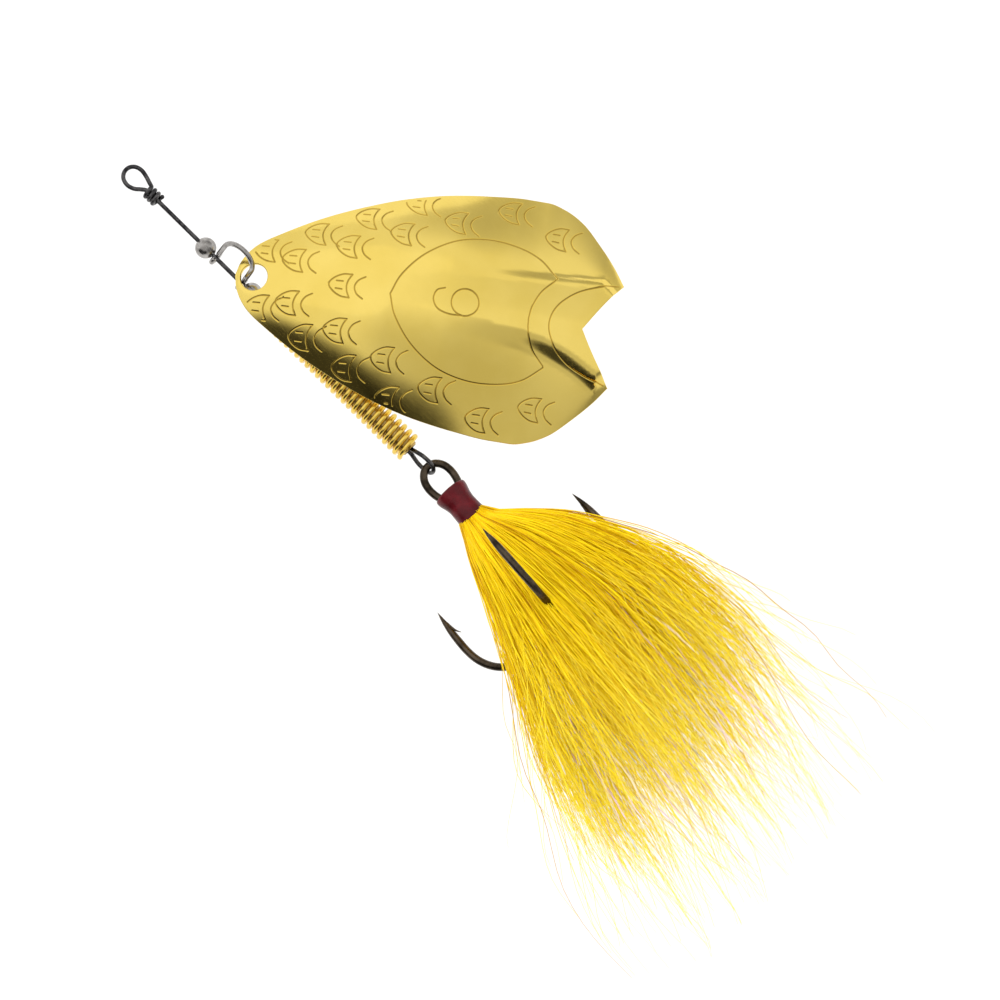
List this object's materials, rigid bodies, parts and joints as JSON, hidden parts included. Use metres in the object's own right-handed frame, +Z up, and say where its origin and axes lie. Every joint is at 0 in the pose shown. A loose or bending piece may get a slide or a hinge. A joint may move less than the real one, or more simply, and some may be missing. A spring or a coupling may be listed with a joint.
{
  "type": "inline spinner",
  "caption": "Fishing lure with a gold cupped blade swinging on a wire clevis, a coil-wrapped weighted body, bearing beads and a treble hook dressed with yellow hair.",
  "frame": {"origin": "centre of the bounding box on the table that the lure lies on", "axes": "+X along the through wire from the line tie towards the hair, +Y to the left seen from above, +Z up from the table"},
  "size_m": [0.1508, 0.0728, 0.0332],
  "materials": {
    "black_nickel_wire": "satin",
    "nickel": "polished",
    "gold_blade": "polished",
    "brass_core": "satin",
    "gold_wire": "polished",
    "bronze_hook": "satin",
    "binding_thread": "matte",
    "maroon_sleeve": "gloss",
    "yellow_hair": "satin",
    "pearl_flash": "gloss"
  },
  "bodies": {
    "wire": {"shaft_wire": "black_nickel_wire"},
    "stack": {"lower_bead": "nickel"},
    "front_bead": {"upper_bead": "nickel"},
    "clevis_body": {"clevis": "nickel"},
    "blade_body": {"blade": "gold_blade"},
    "weighted_body": {"body_weight": "brass_core", "body_coil": "gold_wire"},
    "dressed_treble": {"hook_double": "bronze_hook", "hook_single": "bronze_hook", "thread_binding": "binding_thread", "shank_sleeve": "maroon_sleeve", "hair_left": "yellow_hair", "hair_upper_left": "yellow_hair", "hair_upper_right": "yellow_hair", "hair_right": "yellow_hair", "hair_lower_right": "yellow_hair", "hair_lower_left": "yellow_hair", "flash_left": "pearl_flash", "flash_right": "pearl_flash", "flash_lower": "pearl_flash"}
  },
  "joints": [
    {"name": "stack_slide", "type": "slide", "parent": "wire", "child": "stack", "axis": [0.9988, 0, 0.0482], "range_m": [-0.009, 0]},
    {"name": "front_bead_spin", "type": "hinge", "parent": "stack", "child": "front_bead", "pos_m": [-0.05637, -0.0107, 0.0022], "axis": [0.9988, 0, 0.0482], "continuous": true},
    {"name": "clevis_spin", "type": "hinge", "parent": "stack", "child": "clevis_body", "pos_m": [-0.05097, -0.0107, 0.00247], "axis": [0.9988, 0, 0.0482], "continuous": true},
    {"name": "blade_swing", "type": "hinge", "parent": "clevis_body", "child": "blade_body", "pos_m": [-0.0515, -0.00895, 0.00514], "axis": [-0.0263, -0.8387, 0.544], "range_deg": [0, 70]},
    {"name": "body_spin", "type": "hinge", "parent": "wire", "child": "weighted_body", "pos_m": [-0.02597, -0.0107, 0.00367], "axis": [0.9988, 0, 0.0482], "continuous": true},
    {"name": "hook_swing", "type": "hinge", "parent": "wire", "child": "dressed_treble", "pos_m": [-0.00308, -0.0107, 0.00478], "axis": [0, 0, 1], "range_deg": [-35, 35]}
  ]
}
